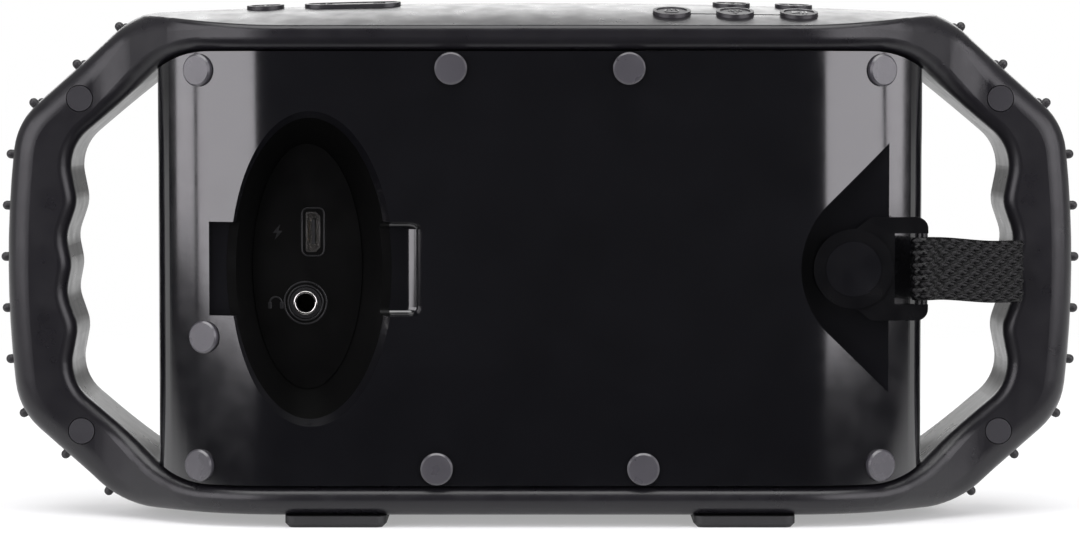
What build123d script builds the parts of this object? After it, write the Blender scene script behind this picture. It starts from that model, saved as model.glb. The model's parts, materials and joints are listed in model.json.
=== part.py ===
"""Rugged portable shower speaker with two end handles. Millimetres, +Z up.

The front faces -Y and the ports and strap are on the back, +Y. The feet stand on
z = 0. Front-view sketches are drawn in x and z about the body centre, CENTRE_Z.
"""
import os
from math import asin, cos, degrees, radians, sin, sqrt, tan

from build123d import *

# Outer frame
CENTRE_Z = 49.7
FRAME_HALF_W = 104.7
FRAME_SIDE_R = 210
FRAME_LOW = 47.5
SLANT_DEG = 41.5
CORNER_R = 18
SIDE_CORNER_R = 14.5
SLANT_TOP_X = FRAME_HALF_W - 26.0
SLANT_TOP_Z = 49.4
SIDE_SHIFT = -0.4
FRAME_HALF_D = 29.8
HANDLE_HALF_D = FRAME_HALF_D - 17.8
HANDLE_EDGE_R = 4.5
CROWN_EDGE_R = 1.2
CROWN_EDGE_Z = 46.3
CROWN_RISE = 5.2
CROWN_FALL = 1.9 / 75**2

# Window inside the frame
WINDOW_X = FRAME_HALF_W - 34.4
WINDOW_Z = 41.8
GRIP_X = FRAME_HALF_W - 12.8
GRIP_Z = 23.5
WINDOW_EDGE_R = 2.5
WAVE = ((GRIP_X, 18.5), (GRIP_X - 1.2, 12.3), (GRIP_X + 1.1, 5.6), (GRIP_X, 0.0))
WAVE_R = 7.0

# Case
CASE_GAP = 0.2
CASE_HALF_W = WINDOW_X + 4.0
CASE_HALF_D = FRAME_HALF_D - 0.8
CASE_BEND_X = CASE_HALF_W - 12.66
CASE_BEND_R = 34.5
ROLL_X = CASE_HALF_W - 25.4
ROLL_R = 35.0
WALL = 2.5
BAFFLE_Y = 6.0 - CASE_HALF_D
RIB_H = 1.4
FIT = 0.1

# Rear plugs and screws
PLUG_R = 3.1
PLUG_PROUD = 1.0
PLUG_SEAT = 0.3
STEM_R = 2.2
SCREW_HEAD_R = 2.1
SCREW_R = 1.5
POST_R = 3.5
MID_PLUGS = ((17.0, 38.3), (-17.0, 38.3), (19.8, -38.3), (-19.8, -38.3))
CORNER_PLUG = (CASE_HALF_W - 8.8, 38.0)
SIDE_PLUG = (CASE_HALF_W - 9.8, -13.2)
CORNER_SCREW_X = CASE_HALF_W - 9.7
FRAME_SCREW = (FRAME_HALF_W - 14.7, 32.6)
FRAME_PLUG_R = 2.5
FRAME_SCREW_R = 1.25

# Port recess
PORT_X = 43.9
PORT_FLOOR_X = 45.2
PORT_RIM = (16.0, 30.2)
PORT_FLOOR = (10.8, 24.0)
PORT_FLOOR_Y = CASE_HALF_D - 12.0
WELL_WALL = 1.8
WELL_TOP_Y = CASE_HALF_D - 2.6
NOTCH_HALF_H = 9.0
NOTCH_Y = CASE_HALF_D - 4.4
NOTCH_LEFT_X = 63.5
NOTCH_RIGHT_X = 22.6
USB_X, USB_Z = 44.1, 6.7
USB_W, USB_T = 7.8, 2.8
AUX_X, AUX_Z = 45.6, -7.1
AUX_R = 1.8
AUX_DEPTH = 12.0

# Strap
POCKET_X = 7.1 - CASE_HALF_W
POCKET_R = 17.3
POCKET_TIP = 24.1
POCKET_Y = CASE_HALF_D - 5.1
BOSS_X = POCKET_X + 7.2
EYE_R = 7.6
HUB_R = 5.3
NECK_R = 4.2
HUB_CLEAR = 0.06
EYE_Y = (POCKET_Y + 0.4, POCKET_Y + 4.4)
HUB_Y = POCKET_Y + 2.3
BAR_X = BOSS_X - 13.2
BAR_Y = POCKET_Y + 2.7
BAR_R = 1.1
BUCKLE_HALF_H = 9.9
SLOT_HALF_H = 6.8
WEB_HALF_W = 6.05
WEB_T = 1.0
WEB_END = (BAR_X - 21.0, BAR_Y - 11.2)

# Feet, keys and grip nubs
FOOT_X = (29.5, 49.0)
FOOT_HALF_L = 28.5
FOOT_INSET = 1.2
KEY_R = 3.65
KEY_GAP = 0.1
KEY_PROUD = 0.7
KEY_TRAVEL = 0.6
KEY_NEAR_Y = 20.5
KEY_FAR_Y = 8.5
ROUND_KEYS = (
    ("key_power", -25.4, KEY_NEAR_Y),
    ("key_pair", -37.6, KEY_NEAR_Y),
    ("key_play", -49.9, KEY_NEAR_Y),
    ("key_next", -37.5, KEY_FAR_Y),
    ("key_previous", -49.7, KEY_FAR_Y),
    ("key_light", 53.8, KEY_FAR_Y),
)
LONG_KEY_X = (27.3, 46.1)
KEY_HALL_Z = 44.5
FLANGE_R = 4.7
NUB_R = 0.9
NUB_PROUD = 1.7
NUB_ROW_Y = 5.75
NUB_STATIONS = (0, 10.1, 20.2, 31.0, 42.4, 53.5)
STRIP_T = 1.2
STRIP_HALF_W = 7.0

# Drivers and battery
CELL_X = -12.7
DRIVER_X = 37.5
DRIVER_R = 24.0
CONE_R = 17.0
RADIATOR = (20.0, 52.0)


def front(sketch, y0, y1):
    plane = Plane(origin=(0, y1, CENTRE_Z), x_dir=(1, 0, 0), z_dir=(0, -1, 0))
    return extrude(plane * sketch, amount=y1 - y0, dir=(0, -1, 0))


def plan(sketch, z0, z1):
    return extrude(Pos(0, 0, CENTRE_Z + z0) * sketch, amount=z1 - z0, dir=(0, 0, 1))


def block(x, y, z):
    centre = ((x[0] + x[1]) / 2, (y[0] + y[1]) / 2, CENTRE_Z + (z[0] + z[1]) / 2)
    return Pos(*centre) * Box(x[1] - x[0], y[1] - y[0], z[1] - z[0])


def rod(x, z, r, y0, y1):
    return front(Pos(x, z) * Circle(r), y0, y1)


def spin(points, x, z):
    """Turn a profile of (radius, y) points about the Y axis through x, z."""
    profile = make_face(Polyline(*points, close=True))
    return Pos(x, 0, CENTRE_Z + z) * revolve(profile, Axis.Y)


def rounded(sketch, points, r):
    picked = [sketch.vertices().sort_by_distance(Vector(x, y))[0] for x, y in points]
    return fillet(picked, r)


def four(x, z):
    return [(x, z), (-x, z), (x, -z), (-x, -z)]


def outer_loop():
    """Outline of the ring; its sides and slants are centred on SIDE_SHIFT."""
    slope = tan(radians(SLANT_DEG))
    reach = SLANT_TOP_X + (SLANT_TOP_Z - SIDE_SHIFT) / slope - FRAME_HALF_W
    rise = FRAME_SIDE_R * (1 / slope - sqrt(1 / slope**2 - 2 * reach / FRAME_SIDE_R))
    x = FRAME_HALF_W - rise**2 / (2 * FRAME_SIDE_R)
    high, low = SIDE_SHIFT + rise, SIDE_SHIFT - rise
    low_x = SLANT_TOP_X + (SLANT_TOP_Z - 2 * SIDE_SHIFT - FRAME_LOW) / slope
    peak = CROWN_EDGE_Z + CROWN_RISE + 0.4
    top = (SLANT_TOP_X, SLANT_TOP_Z)
    sketch = make_face([
        ThreePointArc((-top[0], top[1]), (0, peak), top),
        Line(top, (x, high)),
        ThreePointArc((x, high), (FRAME_HALF_W, SIDE_SHIFT), (x, low)),
        Line((x, low), (low_x, -FRAME_LOW)),
        Line((low_x, -FRAME_LOW), (-low_x, -FRAME_LOW)),
        Line((-low_x, -FRAME_LOW), (-x, low)),
        ThreePointArc((-x, low), (-FRAME_HALF_W, SIDE_SHIFT), (-x, high)),
        Line((-x, high), (-top[0], top[1])),
    ])
    sketch = rounded(sketch, [top, (-top[0], top[1])], CORNER_R)
    sketch = rounded(sketch, [(low_x, -FRAME_LOW), (-low_x, -FRAME_LOW)], CORNER_R)
    return rounded(sketch, [(x, high), (-x, high), (x, low), (-x, low)], SIDE_CORNER_R)


def window_loop():
    """Window outline, with finger waves down both grips."""
    top = (WINDOW_X, WINDOW_Z)
    corner = (GRIP_X, GRIP_Z)
    waves = list(WAVE) + [(x, -z) for x, z in reversed(WAVE[:-1])]
    right = [top, corner] + waves + [(GRIP_X, -GRIP_Z), (WINDOW_X, -WINDOW_Z)]
    left = [(-x, z) for x, z in reversed(right)]
    sketch = Polygon(*right, *left, align=None)
    sketch = rounded(sketch, four(*top), 18)
    sketch = rounded(sketch, four(*corner), 9)
    return rounded(sketch, waves + [(-x, z) for x, z in waves], WAVE_R)


def case_loop(inset):
    """Case outline in the front view, inset from the frame window."""
    z = WINDOW_Z - inset
    slope = (WINDOW_Z - GRIP_Z) / (GRIP_X - WINDOW_X)
    x = WINDOW_X - inset * tan(radians(20))
    low = z - (CASE_HALF_W + 20 - x) * slope
    wide = CASE_HALF_W + 20
    points = ((-x, z), (x, z), (wide, low), (wide, -low), (x, -z), (-x, -z), (-wide, -low), (-wide, low))
    sketch = Polygon(*points, align=None)
    sketch = rounded(sketch, four(x, z), max(18 - inset, 6))
    half = CASE_HALF_W - max(inset - CASE_GAP, 0)
    return sketch & Rectangle(2 * half, 200)


def case_plan(inset):
    """Case outline seen from above: flat back and front, rolled sides."""
    d = CASE_HALF_D - inset
    x = CASE_BEND_X - inset * tan(radians(20))
    side = CASE_HALF_W - inset
    side_y = d - (side - x) * tan(radians(40))
    outline = ((-x, -d), (x, -d), (side, -side_y), (side, side_y), (x, d), (-x, d), (-side, side_y), (-side, -side_y))
    sketch = Polygon(*outline, align=None)
    sketch = rounded(sketch, four(x, d), CASE_BEND_R - inset)
    return rounded(sketch, four(side, side_y), 7.5 - inset)


def frame_plan():
    x1, x2, d, h, far = CASE_BEND_X + 0.26, FRAME_HALF_W - 21.6, FRAME_HALF_D, HANDLE_HALF_D, FRAME_HALF_W + 15
    points = ((-far, -h), (-x2, -h), (-x1, -d), (x1, -d), (x2, -h), (far, -h))
    back = tuple((-x, -y) for x, y in points)
    sketch = Polygon(*points, *back, align=None)
    sketch = rounded(sketch, four(x1, d), 35.5)
    return rounded(sketch, four(x2, h), 12)


def above_crown(up=0.0):
    """Everything above the domed top of the frame, shifted up by a distance."""
    x, y = FRAME_HALF_W + 7, FRAME_HALF_D + 2
    along = (CROWN_RISE - CROWN_FALL * x * x, CROWN_RISE + CROWN_FALL * x * x)
    across = (1 - (y / FRAME_HALF_D) ** 2, 1 + (y / FRAME_HALF_D) ** 2)
    base = CENTRE_Z + CROWN_EDGE_Z + up
    points = [
        [Vector(px, py, base + a * b) for py, b in ((-y, across[0]), (0, across[1]), (y, across[0]))]
        for px, a in ((-x, along[0]), (0, along[1]), (x, along[0]))
    ]
    return extrude(Face.make_bezier_surface(points), amount=40, dir=(0, 0, 1))


def rear_frame_blank():
    """Back half of the ring, with its rolled edges, before any holes."""
    half = front(outer_loop(), 0, FRAME_HALF_D + 1) & plan(frame_plan(), -60, 60)
    rim = [
        e for e in half.edges()
        if min(v.Y for v in e.vertices()) > HANDLE_HALF_D - 0.1
        and abs(e.vertices()[0].Z - e.vertices()[-1].Z) < 60
    ]
    half = fillet(rim, HANDLE_EDGE_R) - above_crown()
    crease = [
        e for e in half.edges()
        if e.center().Z > CENTRE_Z + CROWN_EDGE_Z - 0.8 and e.center().Y > 5 and abs(e.center().X) < 70
    ]
    half = fillet(crease, CROWN_EDGE_R) - front(window_loop(), -1, FRAME_HALF_D + 1)
    slope = (WINDOW_Z - GRIP_Z) / (GRIP_X - WINDOW_X)
    bound = WINDOW_Z + WINDOW_X * slope + 0.4
    grip = [
        e for e in half.edges()
        if min(v.Y for v in e.vertices()) > HANDLE_HALF_D - 0.1
        and max(abs(v.X) for v in e.vertices()) < GRIP_X + 1
        and max(abs(v.X) * slope + abs(v.Z - CENTRE_Z) for v in e.vertices()) < bound
        and max(abs(v.Z - CENTRE_Z) for v in e.vertices()) < WINDOW_Z + 0.1
    ]
    return fillet(grip, WINDOW_EDGE_R)


def rib_groove():
    band = block((-60, 60), (-1.6, 1.6), (WINDOW_Z - 1, WINDOW_Z + RIB_H))
    return band + mirror(band, Plane((0, 0, CENTRE_Z)))


def strip_band(thickness, half_w):
    """Band just inside the outer loop at both ends of the ring."""
    loop = outer_loop()
    band = loop - offset(loop, -thickness)
    ends = band & (Pos(98, 0) * Rectangle(33, 94) + Pos(-98, 0) * Rectangle(33, 94))
    return front(ends, -half_w, half_w)


def foot_blank(side, grow, z0, z1):
    x0, x1 = sorted((side * FOOT_X[0], side * FOOT_X[1]))
    length = FOOT_HALF_L + grow
    return block((x0 - grow, x1 + grow), (-length, length), (z0 - CENTRE_Z, z1 - CENTRE_Z))


def frame_bottom():
    return CENTRE_Z - FRAME_LOW


def frame_cuts():
    """Grooves shared by both halves of the frame."""
    cuts = rib_groove() + strip_band(STRIP_T, STRIP_HALF_W)
    for side in (-1, 1):
        cuts += foot_blank(side, FIT - 3, frame_bottom() - 1, frame_bottom() + FOOT_INSET + FIT)
    return cuts


def key_sketches():
    """Outline of each key seen from above, as (name, sketch, centre)."""
    keys = [(name, Pos(x, y) * Circle(KEY_R), (x, y)) for name, x, y in ROUND_KEYS]
    mid = (LONG_KEY_X[0] + LONG_KEY_X[1]) / 2
    length = LONG_KEY_X[1] - LONG_KEY_X[0]
    pill = Pos(mid, KEY_FAR_Y) * SlotOverall(length, 2 * KEY_R)
    keys.append(("key_volume", pill, (mid, KEY_FAR_Y)))
    return keys


def key_hall():
    """Pockets under the top of the frame that hold the key flanges."""
    right = block((-56.5, -18.8), (3.2, 25.8), (WINDOW_Z - 1, KEY_HALL_Z))
    left = block((21.5, 60), (3.2, 13.8), (WINDOW_Z - 1, KEY_HALL_Z))
    return right + left


def frame_rear():
    body = rear_frame_blank() - frame_cuts() - key_hall()
    for name, sketch, _ in key_sketches():
        body -= plan(offset(sketch, KEY_GAP), KEY_HALL_Z - 1, 60)
    xs = [x for name, x, y in ROUND_KEYS if y == KEY_NEAR_Y]
    link = block((min(xs), max(xs)), (KEY_NEAR_Y - 0.4, KEY_NEAR_Y + 0.4), (40, 60))
    body -= link & above_crown(-0.5)
    for x, z in four(*FRAME_SCREW):
        body -= rod(x, z, FRAME_PLUG_R + 0.15, 8.2, 20)
        body -= rod(x, z, FRAME_SCREW_R + FIT, -1, 9)
    return body


def frame_front():
    body = mirror(rear_frame_blank(), Plane.XZ) - frame_cuts()
    for x, z in four(*FRAME_SCREW):
        body -= rod(x, z, FRAME_SCREW_R + 0.02, -8.5, 1)
    return body


def nub_strip(side):
    """Rubber inlay round one end of the ring with two rows of grip nubs."""
    end = Pos(side * 98, 0, CENTRE_Z) * Box(40, 40, 110)
    strip = strip_band(STRIP_T - FIT, STRIP_HALF_W - FIT) & end
    path = Wire([e for e in outer_loop().edges() if side * e.center().X > 60])
    total = path.length
    for station in NUB_STATIONS:
        for sign in (-1, 1):
            place = path.position_at(total / 2 + sign * station, position_mode=PositionMode.LENGTH)
            along = path.tangent_at(total / 2 + sign * station, position_mode=PositionMode.LENGTH)
            out = Vector(along.Y, -along.X, 0)
            if out.X * side < 0:
                out = out * -1
            for row in (-NUB_ROW_Y, NUB_ROW_Y):
                base = Vector(place.X - out.X * 0.6, row, CENTRE_Z + place.Y - out.Y * 0.6)
                axis = Plane(origin=base, z_dir=(out.X, 0, out.Y))
                height = NUB_PROUD + 0.6 - NUB_R
                strip += axis * (Pos(0, 0, height / 2) * Cylinder(NUB_R, height) + Pos(0, 0, height) * Sphere(NUB_R))
            if station == 0:
                break
    return strip


def foot(side):
    tread = foot_blank(side, 0, 0, frame_bottom())
    tread = fillet(tread.edges().filter_by(Axis.Z), 2.0)
    tread = chamfer(tread.faces().sort_by(Axis.Z)[0].edges(), 0.8)
    return tread + foot_blank(side, -3, frame_bottom() - 0.2, frame_bottom() + FOOT_INSET)


def key(sketch):
    cap = plan(sketch, KEY_HALL_Z - 1.2, 60) - above_crown(KEY_PROUD)
    cap -= plan(offset(sketch, -0.7), 40, 60) & above_crown(KEY_PROUD - 0.2)
    flange = plan(offset(sketch, FLANGE_R - KEY_R), KEY_HALL_Z - 1.2, KEY_HALL_Z - 0.2)
    return cap + flange


def key_mat():
    """Sealing mats on the case top, with a peg down to each switch."""
    top = KEY_HALL_Z - KEY_TRAVEL - 1.4
    mats = block((-56, -19.3), (3.7, 25.3), (WINDOW_Z - CASE_GAP, top))
    mats += block((22, 59.5), (3.7, 13.3), (WINDOW_Z - CASE_GAP, top))
    for name, sketch, (x, y) in key_sketches():
        mats += plan(Pos(x, y) * Circle(1.3), WINDOW_Z - 4.2, WINDOW_Z)
    return mats


def key_switches():
    parts = Part()
    for name, sketch, (x, y) in key_sketches():
        parts += block((x - 2.5, x + 2.5), (y - 2.5, y + 2.5), (34.6, 36.6))
        parts += plan(Pos(x, y) * Circle(1.2), 36.5, 37.3)
    return parts


def key_board():
    right = block((-56, -21.5), (4.5, 24.5), (33.0, 34.5))
    left = block((21.5, 59), (4.5, 13.0), (33.0, 34.5))
    return right + left


def corner_tilt(x):
    return degrees(asin((x - ROLL_X) / ROLL_R))


def rear_y(x):
    return CASE_HALF_D - ROLL_R + sqrt(ROLL_R**2 - max(abs(x) - ROLL_X, 0) ** 2)


def plug_places():
    """Centre of each rear plug on the shell, and its lean about Z."""
    places = [(x, z, 0.0) for x, z in MID_PLUGS]
    for x, z in four(*CORNER_PLUG) + [SIDE_PLUG]:
        lean = corner_tilt(abs(x))
        places.append((x, z, lean if x > 0 else -lean))
    return places


def plug_frame(x, z, lean):
    turn = radians(lean)
    return Plane(origin=(x, rear_y(x), CENTRE_Z + z), x_dir=(0, 0, 1), z_dir=(sin(turn), cos(turn), 0))


def screw_x(x):
    return x if abs(x) < 30 else (CORNER_SCREW_X if x > 0 else -CORNER_SCREW_X)


def screw_seat_y(x):
    return CASE_HALF_D - (5.0 if abs(x) < 30 else 10.0)


def body_screw_plugs():
    parts = Part()
    for x, z, lean in plug_places():
        cap = Pos(0, 0, (PLUG_PROUD - PLUG_SEAT + 0.1) / 2) * Cylinder(PLUG_R, PLUG_PROUD + PLUG_SEAT - 0.1)
        cap = chamfer(cap.edges().sort_by(Axis.Z)[-1], 0.35)
        stem = Pos(0, 0, -1.0) * Cylinder(STEM_R, 1.8)
        parts += plug_frame(x, z, lean) * (cap + stem)
    return parts


def body_screws():
    parts = Part()
    for x, z, lean in plug_places():
        seat = screw_seat_y(x)
        parts += rod(screw_x(x), z, SCREW_HEAD_R, seat, seat + 1.8)
        parts += rod(screw_x(x), z, SCREW_R, -11.5, seat)
    return parts


def frame_screw_plugs():
    parts = Part()
    for x, z in four(*FRAME_SCREW):
        parts += rod(x, z, FRAME_PLUG_R, HANDLE_HALF_D - 1.4, HANDLE_HALF_D)
    return parts


def frame_screws():
    parts = Part()
    for x, z in four(*FRAME_SCREW):
        parts += rod(x, z, 2.2, 8.2, 10.0)
        parts += rod(x, z, FRAME_SCREW_R, -8, 8.3)
    return parts


def port_cut(grow, y0, y1):
    """Drafted oval of the port recess between two depths."""
    def section(y):
        t = (y - PORT_FLOOR_Y) / (CASE_HALF_D - PORT_FLOOR_Y)
        a = PORT_FLOOR[0] + t * (PORT_RIM[0] - PORT_FLOOR[0]) + grow
        b = PORT_FLOOR[1] + t * (PORT_RIM[1] - PORT_FLOOR[1]) + grow
        x = PORT_FLOOR_X + t * (PORT_X - PORT_FLOOR_X)
        plane = Plane(origin=(x, y, CENTRE_Z), x_dir=(1, 0, 0), z_dir=(0, -1, 0))
        return plane * Ellipse(a, b)
    return loft([section(y0), section(y1)], ruled=True)


def port_well():
    """Drafted oval wall of the port recess, bonded behind the shell."""
    tube = port_cut(WELL_WALL, PORT_FLOOR_Y - 1, WELL_TOP_Y) - port_cut(0, PORT_FLOOR_Y - 2, WELL_TOP_Y + 1)
    return tube - notch_cut()


def notch_cut():
    left = block((PORT_X, NOTCH_LEFT_X), (NOTCH_Y, CASE_HALF_D + 2), (-NOTCH_HALF_H, NOTCH_HALF_H))
    right = block((NOTCH_RIGHT_X, PORT_X), (NOTCH_Y, CASE_HALF_D + 2), (-NOTCH_HALF_H, NOTCH_HALF_H))
    foot_edge = right.edges().filter_by(Axis.Z).group_by(Axis.X)[0].sort_by(Axis.Y)[0]
    right = fillet(foot_edge, 3.2)
    outer = right.edges().filter_by(Axis.Y).group_by(Axis.X)[0]
    right = fillet(outer, 1.5)
    return left + right


def pocket_sketch(grow):
    r = POCKET_R + grow
    tip = POCKET_TIP + grow * 1.2
    z = r * r / tip
    x = sqrt(r * r - z * z)
    wedge = Polygon((-25, tip), (0, tip), (x, z), (x, -z), (0, -tip), (-25, -tip), align=None)
    return Pos(POCKET_X, 0) * (wedge + Circle(r))


def case_tub():
    """Back half of the case, hollow, with its screw posts."""
    outer = front(case_loop(CASE_GAP), 0, 40) & plan(case_plan(0), -60, 60)
    hollow = front(case_loop(CASE_GAP + WALL), -1, 40) & plan(case_plan(WALL), -60, 60)
    body = outer - hollow
    inside = block((NOTCH_RIGHT_X - 2, 66), (NOTCH_Y - 2, 40), (-NOTCH_HALF_H - 2, NOTCH_HALF_H + 2))
    inside += front(pocket_sketch(2), POCKET_Y - WALL, 40)
    inside += rod(BOSS_X, 0, 6, POCKET_Y - 9.9, 40)
    for x, z, lean in plug_places():
        inside += rod(screw_x(x), z, POST_R, 0.2, 40)
    rib = block((11.3 - WINDOW_X, WINDOW_X - 11.3), (0, 1.4), (-WINDOW_Z - RIB_H + FIT, WINDOW_Z + RIB_H - FIT))
    rib -= block((-70, 70), (-5, 5), (-WINDOW_Z + 1, WINDOW_Z - 1))
    return body + (inside & outer) + rib


def seal_groove(depth, gap):
    ring = case_loop(CASE_GAP + 0.7 - gap) - case_loop(CASE_GAP + 1.7 + gap)
    return front(ring, -depth, depth)


def rear_shell():
    body = case_tub()
    body -= port_cut(0, WELL_TOP_Y - 1, CASE_HALF_D + 3) + notch_cut()
    body -= port_cut(WELL_WALL + 0.03, PORT_FLOOR_Y - 3, WELL_TOP_Y + 0.02)
    body -= front(pocket_sketch(0), POCKET_Y, 40)
    for x, z, lean in plug_places():
        seat = screw_seat_y(x)
        spot = Pos(0, 0, 2 - PLUG_SEAT) * Cylinder(PLUG_R + 0.1, 4)
        body -= plug_frame(x, z, lean) * (spot + Pos(0, 0, -1) * Cylinder(STEM_R + 0.05, 3))
        body -= rod(screw_x(x), z, STEM_R + 0.05, seat, rear_y(x) - 2)
        body -= rod(screw_x(x), z, SCREW_R + FIT, -1, seat + 1)
    body -= rod(BOSS_X, 0, 1.6, POCKET_Y - 13.9, POCKET_Y + 1)
    for name, sketch, (x, y) in key_sketches():
        body -= plan(Pos(x, y) * Circle(1.5), 36, 45)
    return body - seal_groove(0.8, 0.05)


def front_shell():
    outer = front(case_loop(CASE_GAP), -40, 0) & plan(case_plan(0), -60, 60)
    hollow = front(case_loop(CASE_GAP + WALL), BAFFLE_Y + WALL, 1) & plan(case_plan(WALL), -60, 60)
    body = outer - hollow
    body -= front(grille_loop(0), -40, BAFFLE_Y)
    for side in (-1, 1):
        body -= rod(side * DRIVER_X, 0, 21.2, -40, 0)
    body -= front(RectangleRounded(RADIATOR[0] + 1, RADIATOR[1] + 1, 8), -40, 0)
    rib = block((11.3 - WINDOW_X, WINDOW_X - 11.3), (-1.4, 0), (-WINDOW_Z - RIB_H + FIT, WINDOW_Z + RIB_H - FIT))
    body += rib - block((-70, 70), (-5, 5), (-WINDOW_Z + 1, WINDOW_Z - 1))
    posts = Part()
    for x, z, lean in plug_places():
        posts += rod(screw_x(x), z, POST_R, BAFFLE_Y + 1, -0.2)
    body += posts & outer
    for x, z, lean in plug_places():
        body -= rod(screw_x(x), z, SCREW_R + 0.02, -12, 1)
    return body - seal_groove(0.8, 0.05)


def case_seal():
    return seal_groove(0.75, 0)


def grille_loop(inset):
    return RectangleRounded(124 - 2 * inset, 75 - 2 * inset, 12 - inset)


def front_grille():
    skin = plan(case_plan(0) - Pos(0, 1.2) * case_plan(0), -60, 60)
    return front(grille_loop(0.2), -40, BAFFLE_Y + 13) & skin & block((-70, 70), (-40, BAFFLE_Y + 8), (-60, 60))


def on_baffle(points, x):
    """A turned part centred on x, its depths measured from the front of the baffle."""
    return spin([(r, BAFFLE_Y + y) for r, y in points], x, 0)


def driver_basket(x):
    wall = [(17.6, -0.9), (20.9, 0), (13.0, 13.0), (6.6, 13.0), (6.6, 14.0), (13.6, 14.0), (21.0, 2.0)]
    return on_baffle(wall + [(21.0, 0), (DRIVER_R, 0), (DRIVER_R, -1.0), (17.6, -1.0)], x)


def driver_magnet(x):
    return on_baffle([(0, 14.1), (16.0, 14.1), (16.0, 21.4), (0, 21.4)], x)


def driver_surround(x):
    arch = Pos(19.2, -1.0) * (Circle(1.9) - Circle(1.3)) & Pos(19.2, -2.4) * Rectangle(8, 2.7)
    return Pos(x, BAFFLE_Y, CENTRE_Z) * revolve(arch, Axis.Y)


def driver_cone(x):
    return on_baffle([(CONE_R, -1.6), (CONE_R, -1.0), (6.3, 7.6), (6.3, 11.0), (5.7, 11.0), (5.7, 7.2)], x)


def driver_cap(x):
    return on_baffle([(0, 4.6), (3.6, 5.1), (6.0, 6.4), (5.6, 7.0), (3.4, 5.8), (0, 5.3)], x)


def radiator_ring(outer, inner, y0, y1):
    outline = RectangleRounded(RADIATOR[0] + outer, RADIATOR[1] + outer, 8 + outer / 2)
    hole = RectangleRounded(RADIATOR[0] + inner, RADIATOR[1] + inner, 8 + inner / 2)
    return front(outline - hole, y0, y1)


def radiator_surround():
    return radiator_ring(4.0, -3.0, BAFFLE_Y - 1.6, BAFFLE_Y)


def radiator_plate():
    plate = RectangleRounded(RADIATOR[0] - 4.0, RADIATOR[1] - 4.0, 6)
    weight = RectangleRounded(8, 30, 3)
    return front(plate, BAFFLE_Y - 1.4, BAFFLE_Y - 0.2) + front(weight, BAFFLE_Y - 0.3, BAFFLE_Y + 2.5)


def main_board():
    board = block((-44, 44), (0.4, 2.0), (-33, 30))
    chips = block((-14, 2), (-3.0, 0.4), (-8, 8)) + block((6, 14), (-1.6, 0.4), (-20, -12))
    chips += block((-15, -9), (-1.4, 0.4), (14, 22)) + block((8, 15), (-2.0, 0.4), (10, 17))
    return board + chips


def battery_cells():
    parts = Part()
    for z in (-9.7, 9.7):
        parts += Pos(CELL_X, 14.0, CENTRE_Z + z) * Rot(0, 90, 0) * Cylinder(9.2, 64.8)
    return parts


def battery_holder():
    tray = block((CELL_X - 34.7, CELL_X + 34.7), (2.2, 16.0), (-20.6, 20.6))
    for z in (-9.7, 9.7):
        tray -= Pos(CELL_X, 14.0, CENTRE_Z + z) * Rot(0, 90, 0) * Cylinder(9.35, 65.2)
        tray -= block((CELL_X - 32.6, CELL_X + 32.6), (14.0, 20.0), (z - 9.35, z + 9.35))
    return tray


def usb_sketch(grow):
    w, t = USB_W + 2 * grow, USB_T + 2 * grow
    shape = Rectangle(t, w)
    shape = chamfer(shape.vertices().group_by(Axis.X)[0], 0.9)
    return Pos(USB_X, USB_Z) * fillet(shape.vertices().group_by(Axis.X)[-1], 0.5)


def port_plate():
    y = PORT_FLOOR_Y
    oval = Pos(PORT_FLOOR_X, 0) * Ellipse(PORT_FLOOR[0] + 2.4, PORT_FLOOR[1] + 2.4)
    plate = front(oval, y - 3.8, y - 1.6) + port_cut(-1.0, y - 2.0, y - 0.8)
    plate += port_cut(-0.15, y - 1.1, y)
    plate -= front(usb_sketch(0.05), y - 7, y + 3)
    return plate - rod(AUX_X, AUX_Z, 3.05, y - 7, y + 3)


def port_gasket():
    ring = Ellipse(PORT_FLOOR[0] + 2.0, PORT_FLOOR[1] + 2.0) - Ellipse(PORT_FLOOR[0] + 0.2, PORT_FLOOR[1] + 0.2)
    return front(Pos(PORT_FLOOR_X, 0) * ring, PORT_FLOOR_Y - 1.55, PORT_FLOOR_Y - 1.05)


def usb_receptacle():
    shell = front(usb_sketch(0) - usb_sketch(-0.3), PORT_FLOOR_Y - 5.5, PORT_FLOOR_Y + 0.05)
    return shell + front(usb_sketch(0), PORT_FLOOR_Y - 6.0, PORT_FLOOR_Y - 5.3)


def usb_tongue():
    y = PORT_FLOOR_Y
    return block((USB_X - 0.3, USB_X + 0.3), (y - 5.25, y - 0.6), (USB_Z - 2.4, USB_Z + 2.4))


def aux_jack():
    y = PORT_FLOOR_Y
    body = block((AUX_X - 3.4, AUX_X + 3.4), (y - 13.0, y - 3.9), (AUX_Z - 3.4, AUX_Z + 3.4))
    body += rod(AUX_X, AUX_Z, 3.0, y - 4.0, y) + rod(AUX_X, AUX_Z, 2.5, y - 0.1, y + 0.4)
    return body - rod(AUX_X, AUX_Z, AUX_R, y + 0.4 - AUX_DEPTH, y + 3)


def port_board():
    return block((40.3, 41.9), (PORT_FLOOR_Y - 14.0, PORT_FLOOR_Y - 4.0), (-16, 16))


def swivel_pin():
    pin = rod(BOSS_X, 0, 1.5, POCKET_Y - 8.9, EYE_Y[0]) + rod(BOSS_X, 0, NECK_R, POCKET_Y + 0.02, HUB_Y + 0.1)
    return pin + rod(BOSS_X, 0, HUB_R, HUB_Y + 0.05, EYE_Y[1])


def swivel_nut():
    return rod(BOSS_X, 0, 3.2, POCKET_Y - 13.4, POCKET_Y - 10) - rod(BOSS_X, 0, 1.52, 0, POCKET_Y)


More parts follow.
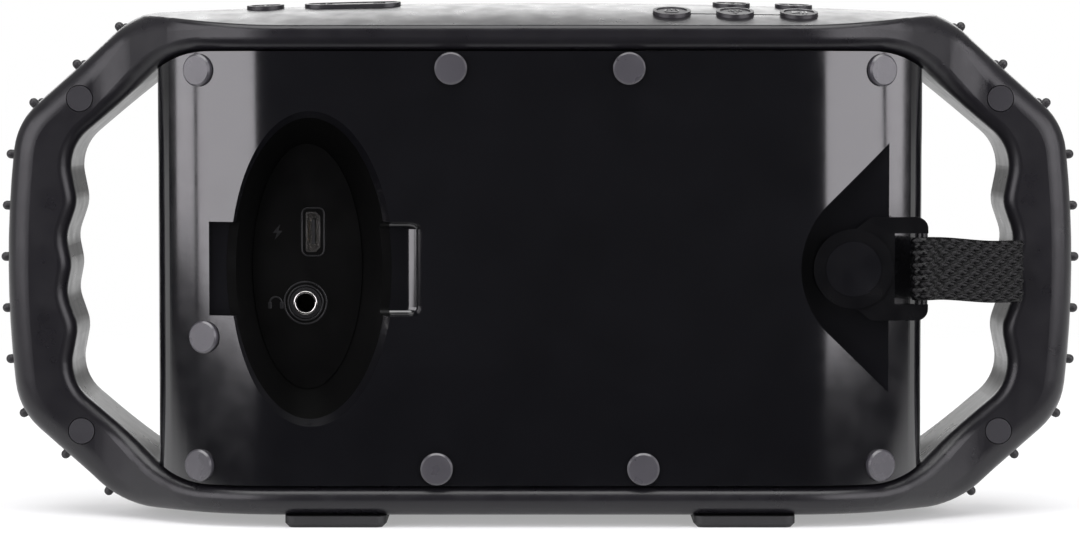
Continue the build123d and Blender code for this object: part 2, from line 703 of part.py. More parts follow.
def buckle_plate():
    """D shaped loop that carries the webbing on its round bar."""
    outer = Pos((BAR_X - 1.1 + BOSS_X) / 2, 0) * Rectangle(abs(BAR_X - 1.1 - BOSS_X), 2 * BUCKLE_HALF_H)
    left = outer.vertices().group_by(Axis.X)[0]
    outer = fillet(left, 2.2)
    trim_x = BOSS_X - 3.4
    trim = Polygon((BOSS_X, 7.2), (BOSS_X, 20), (trim_x, 20), (trim_x, BUCKLE_HALF_H), align=None)
    outer = outer - trim - mirror(trim, Plane.XZ)
    slot = Pos(BAR_X + 1.65, 0) * Rectangle(7.3, 2 * SLOT_HALF_H)
    return front(outer, BAR_Y - 1.1, BAR_Y + 1.1) - front(slot, BAR_Y - 6, BAR_Y + 6)


def strap_buckle():
    body = buckle_plate() + rod(BOSS_X, 0, EYE_R, *EYE_Y)
    body += Pos(BAR_X, BAR_Y, CENTRE_Z) * Cylinder(BAR_R, 2 * SLOT_HALF_H + 2)
    body -= rod(BOSS_X, 0, NECK_R + HUB_CLEAR, EYE_Y[0] - 1, HUB_Y + 1)
    return body - rod(BOSS_X, 0, HUB_R + HUB_CLEAR, HUB_Y, EYE_Y[1] + 1)


def strap_webbing():
    """Doubled webbing: a loop round the bar, then two layers to the fold."""
    r = BAR_R + 0.2
    dx, dy = WEB_END[0] - BAR_X, WEB_END[1] - BAR_Y
    length = sqrt(dx * dx + dy * dy)
    strap = Pos(length / 2, 0) * Rectangle(length, 2 * WEB_T + 0.1)
    strap = fillet(strap.vertices().group_by(Axis.X)[-1], 0.9)
    band = (strap + Circle(r + WEB_T)) - Circle(r)
    angle = degrees(asin(dy / length))
    band = Pos(BAR_X, BAR_Y) * Rot(0, 0, 180 - angle) * band
    return plan(band, -WEB_HALF_W, WEB_HALF_W)


def save(shape, name):
    export_step(shape, f"parts/{name}.step")


def main():
    os.makedirs("parts", exist_ok=True)
    save(frame_rear(), "frame_rear")
    save(frame_front(), "frame_front")
    save(rear_shell(), "rear_shell")
    save(front_shell(), "front_shell")
    for side, word in ((1, "left"), (-1, "right")):
        save(nub_strip(side), f"nub_strip_{word}")
        save(foot(side), f"foot_{word}")
        save(driver_basket(side * DRIVER_X), f"driver_basket_{word}")
        save(driver_magnet(side * DRIVER_X), f"driver_magnet_{word}")
        save(driver_surround(side * DRIVER_X), f"driver_surround_{word}")
        save(driver_cone(side * DRIVER_X), f"driver_cone_{word}")
        save(driver_cap(side * DRIVER_X), f"driver_cap_{word}")
    for name, sketch, _ in key_sketches():
        save(key(sketch), name)
    for build in (
        case_seal, front_grille, body_screw_plugs, body_screws, frame_screw_plugs, frame_screws,
        port_well, port_plate, port_gasket, usb_receptacle, usb_tongue, aux_jack, port_board,
        radiator_surround, radiator_plate, main_board, battery_cells, battery_holder,
        key_mat, key_switches, key_board, swivel_pin, swivel_nut, strap_buckle, strap_webbing,
    ):
        save(build(), build.__name__)


main()
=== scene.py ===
"""Rugged shower speaker seen from the back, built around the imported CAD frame. Metres, +Z up."""

import json
import math

import bmesh
import bpy
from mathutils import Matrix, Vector


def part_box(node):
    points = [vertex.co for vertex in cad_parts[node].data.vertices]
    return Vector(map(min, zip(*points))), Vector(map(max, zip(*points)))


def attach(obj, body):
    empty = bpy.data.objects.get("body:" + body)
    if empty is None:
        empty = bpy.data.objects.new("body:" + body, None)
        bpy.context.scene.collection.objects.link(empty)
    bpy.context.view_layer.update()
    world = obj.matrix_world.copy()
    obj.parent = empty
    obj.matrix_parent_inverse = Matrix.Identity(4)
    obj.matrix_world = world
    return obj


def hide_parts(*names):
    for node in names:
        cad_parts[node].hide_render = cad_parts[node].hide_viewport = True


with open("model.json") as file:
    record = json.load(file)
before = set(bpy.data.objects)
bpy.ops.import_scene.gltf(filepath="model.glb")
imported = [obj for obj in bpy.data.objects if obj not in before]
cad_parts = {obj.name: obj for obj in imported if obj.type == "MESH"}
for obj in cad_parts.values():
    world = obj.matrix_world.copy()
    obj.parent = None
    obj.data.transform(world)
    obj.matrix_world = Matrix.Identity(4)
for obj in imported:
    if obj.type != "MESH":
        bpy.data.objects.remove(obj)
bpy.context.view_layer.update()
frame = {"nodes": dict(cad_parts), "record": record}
nodes = frame["nodes"]
MM = 0.001

# Places read from the frame, in millimetres
shell_low, shell_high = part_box("rear_shell")
CZ = (shell_low[2] + shell_high[2]) / 2 / MM
grille_low, grille_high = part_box("front_grille")


def mid(node):
    low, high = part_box(node)
    return [(a + b) / 2 / MM for a, b in zip(low, high)]


# ---------------------------------------------------------------- materials

def noise(tree, scale, detail=3.0, roughness=0.5, stretch=(1, 1, 1)):
    coords = tree.nodes.new("ShaderNodeTexCoord")
    mapping = tree.nodes.new("ShaderNodeMapping")
    mapping.inputs["Scale"].default_value = stretch
    tex = tree.nodes.new("ShaderNodeTexNoise")
    tex.inputs["Scale"].default_value = scale
    tex.inputs["Detail"].default_value = detail
    tex.inputs["Roughness"].default_value = roughness
    tree.links.new(coords.outputs["Object"], mapping.inputs["Vector"])
    tree.links.new(mapping.outputs["Vector"], tex.inputs["Vector"])
    return tex.outputs["Fac"]


def spread(tree, value, low, high):
    ramp = tree.nodes.new("ShaderNodeMapRange")
    ramp.inputs["From Min"].default_value = 0.3
    ramp.inputs["From Max"].default_value = 0.7
    ramp.inputs["To Min"].default_value = low
    ramp.inputs["To Max"].default_value = high
    tree.links.new(value, ramp.inputs["Value"])
    return ramp.outputs["Result"]


def tint(tree, value, low, high):
    ramp = tree.nodes.new("ShaderNodeValToRGB")
    ramp.color_ramp.elements[0].position = 0.3
    ramp.color_ramp.elements[1].position = 0.7
    ramp.color_ramp.elements[0].color = (*low, 1)
    ramp.color_ramp.elements[1].color = (*high, 1)
    tree.links.new(value, ramp.inputs["Fac"])
    return ramp.outputs["Color"]


def surface(name, color, rough, metal=0.0, vary=0.12, patch=90.0, grain=0.0, grain_scale=2500.0,
            rough_vary=0.05, coat=0.0, specular=0.5, sheen=0.0, stretch=(1, 1, 1)):
    """Moulded, painted or metal finish with uneven colour, gloss and a fine grain."""
    mat = bpy.data.materials.new(name)
    mat.use_nodes = True
    tree = mat.node_tree
    shader = tree.nodes["Principled BSDF"]
    shader.inputs["Metallic"].default_value = metal
    shader.inputs["Coat Weight"].default_value = coat
    shader.inputs["Coat Roughness"].default_value = 0.08
    shader.inputs["Specular IOR Level"].default_value = specular
    shader.inputs["Sheen Weight"].default_value = sheen
    low = [c * (1 - vary) for c in color]
    high = [c * (1 + vary) for c in color]
    colour = tint(tree, noise(tree, patch), low, high)
    tree.links.new(colour, shader.inputs["Base Color"])
    gloss = spread(tree, noise(tree, patch * 2.3, 4), rough - rough_vary, rough + rough_vary)
    tree.links.new(gloss, shader.inputs["Roughness"])
    if grain:
        bump = tree.nodes.new("ShaderNodeBump")
        bump.inputs["Strength"].default_value = grain
        bump.inputs["Distance"].default_value = 0.00005
        tree.links.new(noise(tree, grain_scale, 2, 0.6, stretch), bump.inputs["Height"])
        tree.links.new(bump.outputs["Normal"], shader.inputs["Normal"])
    return mat


FINISH = {
    "frame": surface("frame_satin", (0.008, 0.0075, 0.0095), 0.31, grain=0.25, vary=0.08, specular=0.42),
    "shell": surface("shell_gloss", (0.004, 0.004, 0.005), 0.12, rough_vary=0.02, grain=0.04,
                     grain_scale=700, specular=1.0),
    "rubber": surface("grip_rubber", (0.013, 0.012, 0.014), 0.5, grain=0.3),
    "foot_rubber": surface("foot_rubber", (0.008, 0.008, 0.009), 0.6, grain=0.5, grain_scale=1600),
    "seal": surface("seal_silicone", (0.03, 0.03, 0.03), 0.55, grain=0.2),
    "grille": surface("grille_paint", (0.014, 0.014, 0.016), 0.42, grain=0.3, specular=0.55),
    "plug": surface("plug_rubber", (0.044, 0.042, 0.049), 0.30, grain=0.35, vary=0.1, specular=0.9),
    "frame_plug": surface("frame_plug_rubber", (0.016, 0.015, 0.019), 0.5, grain=0.3),
    "screw": surface("screw_steel", (0.55, 0.55, 0.57), 0.3, metal=1.0, grain=0.2, stretch=(1, 8, 1)),
    "port_plastic": surface("port_plastic", (0.002, 0.002, 0.002), 0.35, grain=0.3,
                            grain_scale=3200, specular=0.12),
    "plated": surface("plated_shell", (0.72, 0.70, 0.68), 0.2, metal=1.0, grain=0.1),
    "tongue": surface("connector_tongue", (0.012, 0.012, 0.013), 0.35, grain=0.1),
    "jack": surface("jack_plastic", (0.014, 0.014, 0.015), 0.28, grain=0.1),
    "board": surface("solder_mask", (0.008, 0.09, 0.035), 0.3, coat=0.4, grain=0.15, vary=0.25),
    "cell": surface("cell_wrap", (0.015, 0.14, 0.28), 0.28, coat=0.2, vary=0.1),
    "holder": surface("holder_plastic", (0.03, 0.03, 0.032), 0.5, grain=0.3),
    "switch": surface("switch_metal", (0.5, 0.5, 0.5), 0.35, metal=0.9, grain=0.2),
    "swivel": surface("swivel_satin", (0.004, 0.004, 0.005), 0.22, grain=0.15, specular=0.45),
    "buckle": surface("buckle_satin", (0.0025, 0.0025, 0.003), 0.24, grain=0.15, specular=0.35),
    "webbing": surface("webbing_polyester", (0.0012, 0.0012, 0.0014), 0.27, vary=0.35, patch=900, grain=0.3,
                       grain_scale=5200, stretch=(1, 1, 4), specular=0.2),
    "surround": surface("surround_rubber", (0.015, 0.015, 0.015), 0.5, grain=0.3),
    "cone": surface("cone_paper", (0.035, 0.035, 0.037), 0.6, grain=0.8, grain_scale=1800),
    "cap": surface("cap_paper", (0.028, 0.028, 0.030), 0.5, grain=0.6, grain_scale=1800),
    "basket": surface("basket_steel", (0.03, 0.03, 0.032), 0.4, grain=0.25),
    "magnet": surface("magnet_steel", (0.12, 0.12, 0.125), 0.35, metal=0.8, grain=0.25),
    "key": surface("key_rubber", (0.014, 0.013, 0.016), 0.42, grain=0.3),
    "mark": surface("port_mark", (0.010, 0.010, 0.011), 0.3, grain=0.1),
    "contact": surface("contact_gold", (0.8, 0.55, 0.2), 0.25, metal=1.0, grain=0.1),
}

for entry in frame["record"]["subparts"]:
    cad = nodes[entry["node"]]
    cad.data.materials.clear()
    cad.data.materials.append(FINISH[entry["material_slot"]])


# ---------------------------------------------------------------- mesh helpers

def piece(name, points, faces, finish, body, slot=None, smooth=True):
    """A mesh piece from points in millimetres, riding on a body."""
    mesh = bpy.data.meshes.new(name)
    mesh.from_pydata([Vector(p) * MM for p in points], [], faces)
    shape = bmesh.new()
    shape.from_mesh(mesh)
    bmesh.ops.recalc_face_normals(shape, faces=shape.faces)
    shape.to_mesh(mesh)
    shape.free()
    mesh.polygons.foreach_set("use_smooth", [smooth] * len(mesh.polygons))
    obj = bpy.data.objects.new(name, mesh)
    bpy.context.scene.collection.objects.link(obj)
    obj.data.materials.append(FINISH[finish])
    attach(obj, body)
    slot or finish
    return obj


def prism(outline, place, height):
    """Points and faces of an outline (u, v) lifted from 0 to height by place(u, v, h)."""
    n = len(outline)
    points = [place(u, v, 0.0) for u, v in outline] + [place(u, v, height) for u, v in outline]
    faces = [list(range(n - 1, -1, -1)), list(range(n, 2 * n))]
    faces += [[i, (i + 1) % n, n + (i + 1) % n, n + i] for i in range(n)]
    return points, faces


def band(path, width, place, height, closed=False):
    """A flat raised line along a path of (u, v) points."""
    n = len(path)
    sides = []
    for i, (u, v) in enumerate(path):
        a = path[i - 1] if (i or closed) else path[i]
        b = path[(i + 1) % n] if (i < n - 1 or closed) else path[i]
        du, dv = b[0] - a[0], b[1] - a[1]
        size = math.hypot(du, dv)
        nu, nv = -dv / size * width / 2, du / size * width / 2
        sides.append(((u + nu, v + nv), (u - nu, v - nv)))
    points = []
    for left, right in sides:
        points += [place(*left, 0), place(*right, 0), place(*right, height), place(*left, height)]
    faces = []
    for i in range(n if closed else n - 1):
        a, b = 4 * i, 4 * ((i + 1) % n)
        for k in range(4):
            faces.append([a + k, a + (k + 1) % 4, b + (k + 1) % 4, b + k])
    if not closed:
        faces += [[0, 1, 2, 3], [4 * n - 1, 4 * n - 2, 4 * n - 3, 4 * n - 4]]
    return points, faces


def join(parts):
    points, faces = [], []
    for p, f in parts:
        base = len(points)
        points += p
        faces += [[base + i for i in face] for face in f]
    return points, faces


def arc(cu, cv, r, start, end, steps=24):
    turn = [math.radians(start + (end - start) * i / steps) for i in range(steps + 1)]
    return [(cu + r * math.cos(t), cv + r * math.sin(t)) for t in turn]


# ---------------------------------------------------------------- front grille

HOLE_PITCH = 2.5
HOLE_R = 0.78
GRILLE_T = 0.8
BEND_X = 48.9
BEND_R = 35.0


def case_drop(x):
    """How far the case face falls back at a distance from the middle."""
    past = max(abs(x) - BEND_X, 0)
    return BEND_R - math.sqrt(BEND_R ** 2 - past ** 2)


def in_rounded(x, z, half_w, half_h, r):
    dx, dz = abs(x) - (half_w - r), abs(z) - (half_h - r)
    if dx <= 0 or dz <= 0:
        return abs(x) <= half_w and abs(z) <= half_h
    return math.hypot(dx, dz) <= r


def rounded_outline(half_w, half_h, r, steps=10):
    outline = []
    for cx, cz, start in ((1, 1, 0), (-1, 1, 90), (-1, -1, 180), (1, -1, 270)):
        outline += arc(cx * (half_w - r), cz * (half_h - r), r, start, start + 90, steps)
    return outline


def build_grille():
    half_w = (grille_high[0] - grille_low[0]) / 2 / MM
    half_h = (grille_high[2] - grille_low[2]) / 2 / MM
    face_y = grille_low[1] / MM + 0.15
    hex_r = HOLE_PITCH / math.sqrt(3)
    points, faces, index = [], [], {}

    def vertex(x, z):
        key = (round(x, 3), round(z, 3))
        if key not in index:
            index[key] = len(points)
            points.append((x, face_y + case_drop(x), CZ + z))
        return index[key]

    rows = int(half_h / (hex_r * 1.5)) + 1
    columns = int(half_w / HOLE_PITCH) + 1
    for row in range(-rows, rows + 1):
        for column in range(-columns, columns + 1):
            cx = (column + 0.5 * (row % 2)) * HOLE_PITCH
            cz = row * hex_r * 1.5
            if not in_rounded(cx, cz, half_w - 1.3, half_h - 1.3, 10.5):
                continue
            rim = []
            for k in range(12):
                turn = math.radians(30 * k + 30)
                reach = hex_r if k % 2 == 0 else hex_r * math.cos(math.radians(30))
                rim.append(vertex(cx + reach * math.cos(turn), cz + reach * math.sin(turn)))
            hole = [vertex(cx + HOLE_R * math.cos(math.radians(30 * k + 30)),
                           cz + HOLE_R * math.sin(math.radians(30 * k + 30))) for k in range(12)]
            for k in range(12):
                n = (k + 1) % 12
                faces.append([rim[k], hole[k], hole[n], rim[n]])
    mesh = piece("grille_perforated", points, faces, "grille", "case", smooth=False)
    thick = mesh.modifiers.new("thickness", "SOLIDIFY")
    thick.thickness = GRILLE_T * MM
    thick.offset = 0
    outer = rounded_outline(half_w, half_h, 12)
    inner = rounded_outline(half_w - 2.6, half_h - 2.6, 9.6)
    n = len(outer)
    rings = []
    for outline, lift in ((outer, 0.9), (outer, -0.1), (inner, -0.1), (inner, 0.5)):
        rings.append([(x, face_y + case_drop(x) + lift, CZ + z) for x, z in outline])
    flat = [p for ring in rings for p in ring]
    around = []
    for a in range(4):
        b = (a + 1) % 4
        around += [[a * n + i, a * n + (i + 1) % n, b * n + (i + 1) % n, b * n + i] for i in range(n)]
    rim_piece = piece("grille_rim", flat, around, "grille", "case")
    soften(rim_piece, 0.15)
    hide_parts("front_grille")


def soften(obj, width, segments=2):
    bevel = obj.modifiers.new("edge", "BEVEL")
    bevel.width = width * MM
    bevel.segments = segments
    bevel.limit_method = "ANGLE"
    bevel.angle_limit = math.radians(35)
    bevel.harden_normals = False


# ---------------------------------------------------------------- strap webbing

BAR = (-73.2, 26.6)
WEB_FOLD = (-94.2, 15.4)
WEB_HALF_W = 6.0
TAPE_T = 0.8
YARN = 1.2
FLOAT_LENGTH = 2.9
YARN_RISE = 0.5
DROOP = 1.0


def web_path():
    """Closed centreline of the tape, seen from above, as (x, y) points."""
    length = math.dist(BAR, WEB_FOLD)
    along = ((WEB_FOLD[0] - BAR[0]) / length, (WEB_FOLD[1] - BAR[1]) / length)
    out = (along[1], -along[0])
    gap = 0.5
    loop_r = 1.75
    local = []
    end = length - 1.0
    neck = 5.0
    steps = 90
    for i in range(steps + 1):
        s = end - end * i / steps
        t = min(max(s / neck, 0), 1)
        swell = (1 - t) ** 2 * (1 + 2 * t)
        local.append((s, gap + (loop_r - gap) * swell))
    local += [(-loop_r * math.sin(a), loop_r * math.cos(a)) for a in
              [math.pi * k / 28 for k in range(1, 28)]]
    local += [(s, -n) for s, n in reversed(local[:steps + 1])]
    local += [(end + gap * math.sin(a), -gap * math.cos(a)) for a in
              [math.pi * k / 10 for k in range(1, 10)]]
    return [(BAR[0] + s * along[0] + n * out[0], BAR[1] + s * along[1] + n * out[1]) for s, n in local]


def build_webbing():
    path = web_path()
    n = len(path)
    lengths = [0.0]
    for i in range(n):
        lengths.append(lengths[-1] + math.dist(path[i], path[(i + 1) % n]))
    total = lengths[-1]
    step = 0.2
    count = int(total / step)
    columns = 60

    def at(s):
        s %= total
        i = next(k for k in range(n) if lengths[k + 1] >= s)
        f = (s - lengths[i]) / (lengths[i + 1] - lengths[i])
        a, b = path[i], path[(i + 1) % n]
        return (a[0] + (b[0] - a[0]) * f, a[1] + (b[1] - a[1]) * f)

    floats = round(total / FLOAT_LENGTH) / total
    points = []
    for i in range(count):
        s = total * i / count
        here, ahead, behind = at(s), at(s + 0.35), at(s - 0.35)
        dx, dy = ahead[0] - behind[0], ahead[1] - behind[1]
        size = math.hypot(dx, dy)
        out = (dy / size, -dx / size)
        for face in (1, -1):
            for j in range(columns + 1):
                v = -WEB_HALF_W + 2 * WEB_HALF_W * j / columns
                edge = min(1.0, (WEB_HALF_W - abs(v)) / 0.5)
                k = math.floor((v + WEB_HALF_W) / YARN)
                across = 2 * (((v + WEB_HALF_W) / YARN) % 1) - 1
                lift = 0.5 + 0.5 * math.sin(2 * math.pi * (s * floats + 0.5 * (k % 2) + 0.25 * face))
                rise = YARN_RISE * lift * math.sqrt(max(1 - across * across, 0)) * 0.8
                half = (TAPE_T / 2 - YARN_RISE / 2) * (0.35 + 0.65 * math.sqrt(edge)) + rise * edge
                past = min(max((BAR[0] - 2.0 - here[0]) / 14.0, 0), 1)
                z = CZ + v - DROOP * past * past * (3 - 2 * past)
                points.append((here[0] + face * out[0] * half, here[1] + face * out[1] * half, z))
    faces = []
    ring = 2 * (columns + 1)
    for i in range(count):
        a, b = i * ring, ((i + 1) % count) * ring
        for j in range(columns):
            faces.append([a + j, b + j, b + j + 1, a + j + 1])
            m = columns + 1 + j
            faces.append([a + m + 1, b + m + 1, b + m, a + m])
        faces.append([a, a + columns + 1, b + columns + 1, b])
        faces.append([a + columns, b + columns, b + ring - 1, a + ring - 1])
    tape = piece("strap_weave", points, faces, "webbing", "webbing")
    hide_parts("strap_webbing")
    return tape


# ---------------------------------------------------------------- ports and key marks

USB = (44.1, 6.7)
JACK = (45.6, -7.1)
BOLT_X = 51.0
PHONES_X = 51.4
FLOOR_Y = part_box("port_plate")[1][1] / MM
CROWN = (46.3, 5.2, 1.9 / 75 ** 2, 29.8, 0.5)
LINE = 0.28


def on_floor(u, v, h):
    return (u, FLOOR_Y - 0.05 + h, CZ + v)


def slab(u0, u1, v0, v1, place, height):
    return prism([(u0, v0), (u1, v0), (u1, v1), (u0, v1)], place, height)


def build_ports():
    around = [(USB[0] + u, USB[1] + v) for u, v in rounded_outline(2.15, 4.65, 1.2, 6)]
    lines = [band(around, 0.3, on_floor, 0.2, closed=True)]
    for r in (3.35, 4.1):
        lines.append(band(arc(*JACK, r, 0, 360, 48)[:-1], 0.3, on_floor, 0.2, closed=True))
    bolt = [(0.5, 1.5), (-0.9, -0.2), (-0.1, -0.2), (-0.5, -1.5), (0.9, 0.2), (0.1, 0.2)]
    lines.append(prism([(BOLT_X - u, USB[1] + v) for u, v in bolt], on_floor, 0.18))
    cups = (PHONES_X, JACK[1])
    lines.append(band(arc(*cups, 1.15, 0, 180, 14), 0.3, on_floor, 0.18))
    for side in (-1, 1):
        u = cups[0] + side * 1.15
        lines.append(slab(u - 0.32, u + 0.32, cups[1] - 1.1, cups[1] + 0.1, on_floor, 0.2))
    marks = piece("port_marks", *join(lines), "mark", "case", "port_plastic", smooth=False)
    soften(marks, 0.06)
    ring = []
    for r, h in ((1.85, 0.0), (2.35, 0.0), (2.35, 0.5), (2.2, 0.6), (1.95, 0.6), (1.85, 0.5)):
        ring.append((r, h))
    points, faces = [], []
    for r, h in ring:
        points += [on_floor(u, v, h) for u, v in arc(*JACK, r, 0, 360, 40)[:-1]]
    for a in range(len(ring)):
        b = (a + 1) % len(ring)
        faces += [[a * 40 + i, a * 40 + (i + 1) % 40, b * 40 + (i + 1) % 40, b * 40 + i] for i in range(40)]
    piece("jack_ring", points, faces, "plated", "case")
    low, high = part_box("usb_tongue")
    x = high[0] / MM
    y0, y1 = low[1] / MM + 1.0, high[1] / MM - 0.5
    strips = []
    for k in range(5):
        v = USB[1] + (k - 2) * 0.8
        strips.append(prism([(y0, v - 0.18), (y1, v - 0.18), (y1, v + 0.18), (y0, v + 0.18)],
                            lambda u, w, h: (x - 0.02 + h, u, CZ + w), 0.06))
    piece("usb_contacts", *join(strips), "contact", "case", "plated", smooth=False)


def key_top(x, y):
    edge, rise, fall, half_d, proud = CROWN
    return CZ + edge + (rise - fall * x * x) * (1 - (y / half_d) ** 2) + proud


def icon(kind):
    """Generic line marks for a key, as lists of outlines or paths in millimetres."""
    if kind == "key_power":
        return [("line", arc(0, 0, 1.3, 125, 415, 24)), ("line", [(0, 0.4), (0, 1.8)])]
    if kind == "key_pair":
        return [("line", arc(0, 0, 0.6, 0, 180, 10)), ("line", arc(0, 0, 1.35, 20, 160, 12)),
                ("fill", arc(0, -1.0, 0.4, 0, 330, 11))]
    if kind == "key_play":
        return [("fill", [(-1.4, -1.1), (0.2, 0), (-1.4, 1.1)]), ("line", [(0.7, -1.1), (0.7, 1.1)]),
                ("line", [(1.4, -1.1), (1.4, 1.1)])]
    if kind in ("key_next", "key_previous"):
        turn = 1 if kind == "key_next" else -1
        tri = [(-1.2 * turn, -1.0), (0.6 * turn, 0), (-1.2 * turn, 1.0)]
        return [("fill", tri), ("line", [(1.0 * turn, -1.0), (1.0 * turn, 1.0)])]
    if kind == "key_light":
        rays = [("line", [(0.95 * math.cos(t), 0.95 * math.sin(t)), (1.7 * math.cos(t), 1.7 * math.sin(t))])
                for t in (math.radians(45 * k) for k in range(8))]
        return rays + [("fill", arc(0, 0, 0.55, 0, 330, 11))]
    plus = [("line", [(-6.4, 0), (-4.0, 0)]), ("line", [(-5.2, -1.2), (-5.2, 1.2)])]
    return plus + [("line", [(4.0, 0), (6.4, 0)])]


def build_icons():
    for entry in frame["record"]["subparts"]:
        name = entry["node"]
        if not name.startswith("key_") or entry["material_slot"] != "key":
            continue
        cx, cy, _ = mid(name)

        def place(u, v, h):
            x, y = cx - u, cy - v
            return (x, y, key_top(x, y) - 0.03 + h)

        shapes = [prism(path, place, 0.15) if style == "fill" else band(path, LINE, place, 0.15)
                  for style, path in icon(name)]
        piece(name + "_mark", *join(shapes), "mark", name + "_body", "key", smooth=False)


# ---------------------------------------------------------------- floor, light, camera

FLOOR_FAR = 6.0
FLOOR_NEAR = 0.45
SIDE_BOX = (0.95, 0.74, 0.25)
SIDE_BOX_ALONG = (0.616, -0.788)
VIEW_DISTANCE = 0.700
VIEW_HEIGHT = 0.082
VIEW_DOWN_DEG = 2.89
FOCAL_PIXELS = 3517
IMAGE_WIDTH = 1080
SENSOR = 36.0


def build_floor():
    mesh = bpy.data.meshes.new("floor")
    far, near = FLOOR_FAR, FLOOR_NEAR
    mesh.from_pydata([(-far, -far, 0), (far, -far, 0), (far, near, 0), (-far, near, 0)], [], [[0, 1, 2, 3]])
    floor = bpy.data.objects.new("floor", mesh)
    bpy.context.scene.collection.objects.link(floor)
    mat = bpy.data.materials.new("pale_floor")
    mat.use_nodes = True
    tree = mat.node_tree
    shader = tree.nodes["Principled BSDF"]
    shader.inputs["Base Color"].default_value = (0.9, 0.9, 0.91, 1)
    shader.inputs["Roughness"].default_value = 0.7
    coords = tree.nodes.new("ShaderNodeTexCoord")
    length = tree.nodes.new("ShaderNodeVectorMath")
    length.operation = "LENGTH"
    tree.links.new(coords.outputs["Object"], length.inputs[0])
    fade = tree.nodes.new("ShaderNodeMapRange")
    fade.interpolation_type = "SMOOTHSTEP"
    fade.inputs["From Min"].default_value = 0.10
    fade.inputs["From Max"].default_value = 0.55
    fade.inputs["To Min"].default_value = 0.35
    fade.inputs["To Max"].default_value = 1.0
    tree.links.new(length.outputs["Value"], fade.inputs["Value"])
    glow = tree.nodes.new("ShaderNodeEmission")
    glow.inputs["Strength"].default_value = 1.0
    mix = tree.nodes.new("ShaderNodeMixShader")
    tree.links.new(fade.outputs["Result"], mix.inputs["Fac"])
    tree.links.new(shader.outputs["BSDF"], mix.inputs[1])
    tree.links.new(glow.outputs["Emission"], mix.inputs[2])
    # Painted reflection: to glossy rays the floor on the camera side turns near-black diffuse, so the case
    # mirrors a dark floor there while the camera sees the floor pale
    place = tree.nodes.new("ShaderNodeSeparateXYZ")
    tree.links.new(coords.outputs["Object"], place.inputs["Vector"])
    near_side = tree.nodes.new("ShaderNodeMapRange")
    near_side.inputs["From Min"].default_value = 0.03
    near_side.inputs["From Max"].default_value = 0.08
    tree.links.new(place.outputs["Y"], near_side.inputs["Value"])
    ray = tree.nodes.new("ShaderNodeLightPath")
    both = tree.nodes.new("ShaderNodeMath")
    both.operation = "MULTIPLY"
    tree.links.new(near_side.outputs["Result"], both.inputs[0])
    tree.links.new(ray.outputs["Is Glossy Ray"], both.inputs[1])
    painted_dark_reflection = tree.nodes.new("ShaderNodeBsdfDiffuse")
    painted_dark_reflection.inputs["Color"].default_value = (0.005, 0.005, 0.005, 1)
    last = tree.nodes.new("ShaderNodeMixShader")
    tree.links.new(both.outputs["Value"], last.inputs["Fac"])
    tree.links.new(mix.outputs["Shader"], last.inputs[1])
    tree.links.new(painted_dark_reflection.outputs["BSDF"], last.inputs[2])
    tree.links.new(last.outputs["Shader"], tree.nodes["Material Output"].inputs["Surface"])
    floor.data.materials.append(mat)


def area_light(name, place, aim, size, power, color=(1, 1, 1)):
    data = bpy.data.lights.new(name, "AREA")
    data.shape = "RECTANGLE"
    data.size, data.size_y = size
    data.energy = power
    data.color = color
    light = bpy.data.objects.new(name, data)
    light.location = place
    light.rotation_euler = (Vector(aim) - Vector(place)).to_track_quat("-Z", "Y").to_euler()
    bpy.context.scene.collection.objects.link(light)


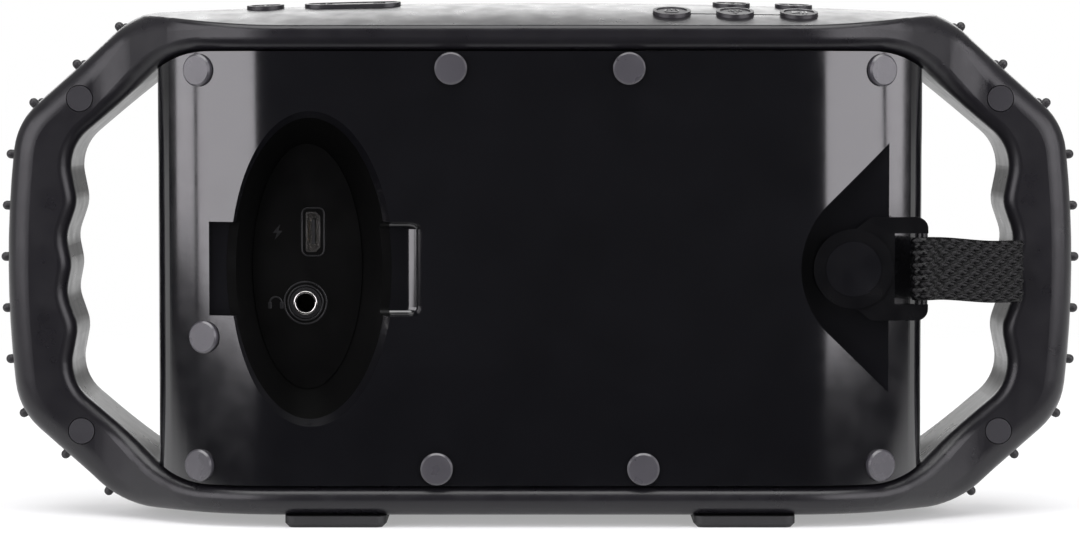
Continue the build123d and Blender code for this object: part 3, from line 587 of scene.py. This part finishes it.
def build_light():
    world = bpy.data.worlds.new("studio")
    bpy.context.scene.world = world
    world.use_nodes = True
    tree = world.node_tree
    ground = tree.nodes["Background"]
    coords = tree.nodes.new("ShaderNodeTexCoord")
    split = tree.nodes.new("ShaderNodeSeparateXYZ")
    tree.links.new(coords.outputs["Generated"], split.inputs["Vector"])
    ramp = tree.nodes.new("ShaderNodeMapRange")
    ramp.inputs["From Min"].default_value = -0.35
    ramp.inputs["From Max"].default_value = 0.35
    ramp.inputs["To Min"].default_value = 0.3
    ramp.inputs["To Max"].default_value = 0.02
    tree.links.new(split.outputs["Y"], ramp.inputs["Value"])
    tree.links.new(ramp.outputs["Result"], ground.inputs["Strength"])
    ground.inputs["Color"].default_value = (1, 0.99, 0.98, 1)
    seen = tree.nodes.new("ShaderNodeBackground")
    seen.inputs["Color"].default_value = (1, 1, 1, 1)
    seen.inputs["Strength"].default_value = 1.0
    path = tree.nodes.new("ShaderNodeLightPath")
    mix = tree.nodes.new("ShaderNodeMixShader")
    tree.links.new(path.outputs["Is Camera Ray"], mix.inputs["Fac"])
    tree.links.new(ground.outputs["Background"], mix.inputs[1])
    tree.links.new(seen.outputs["Background"], mix.inputs[2])
    tree.links.new(mix.outputs["Shader"], tree.nodes["World Output"].inputs["Surface"])
    centre = (0, 0, CZ * MM)
    for side in (1, -1):
        for u, width in ((-0.20, 0.90), (0.48, 0.34)):
            du, dv = SIDE_BOX_ALONG[0] * u, SIDE_BOX_ALONG[1] * u
            spot = (side * (SIDE_BOX[0] + du), SIDE_BOX[1] + dv, SIDE_BOX[2])
            aim = (side * du, dv, CZ * MM)
            area_light("side_box", spot, aim, (width, 1.1), 12 * width, (1, 0.97, 1.02))
    area_light("top_box", (0, 0.35, 1.25), centre, (1.6, 1.2), 24)
    area_light("front_fill", (0, -1.5, 0.65), centre, (1.8, 0.6), 9)
    bpy.context.scene.view_settings.view_transform = "Standard"


def build_camera():
    data = bpy.data.cameras.new("camera")
    data.sensor_width = SENSOR
    data.lens = FOCAL_PIXELS / IMAGE_WIDTH * SENSOR
    data.clip_start = 0.01
    camera = bpy.data.objects.new("camera", data)
    camera.location = (0, VIEW_DISTANCE, VIEW_HEIGHT)
    camera.rotation_euler = (math.radians(90 - VIEW_DOWN_DEG), 0, math.radians(180))
    bpy.context.scene.collection.objects.link(camera)
    bpy.context.scene.camera = camera


build_grille()
build_webbing()
build_ports()
build_icons()
build_floor()
build_light()
build_camera()
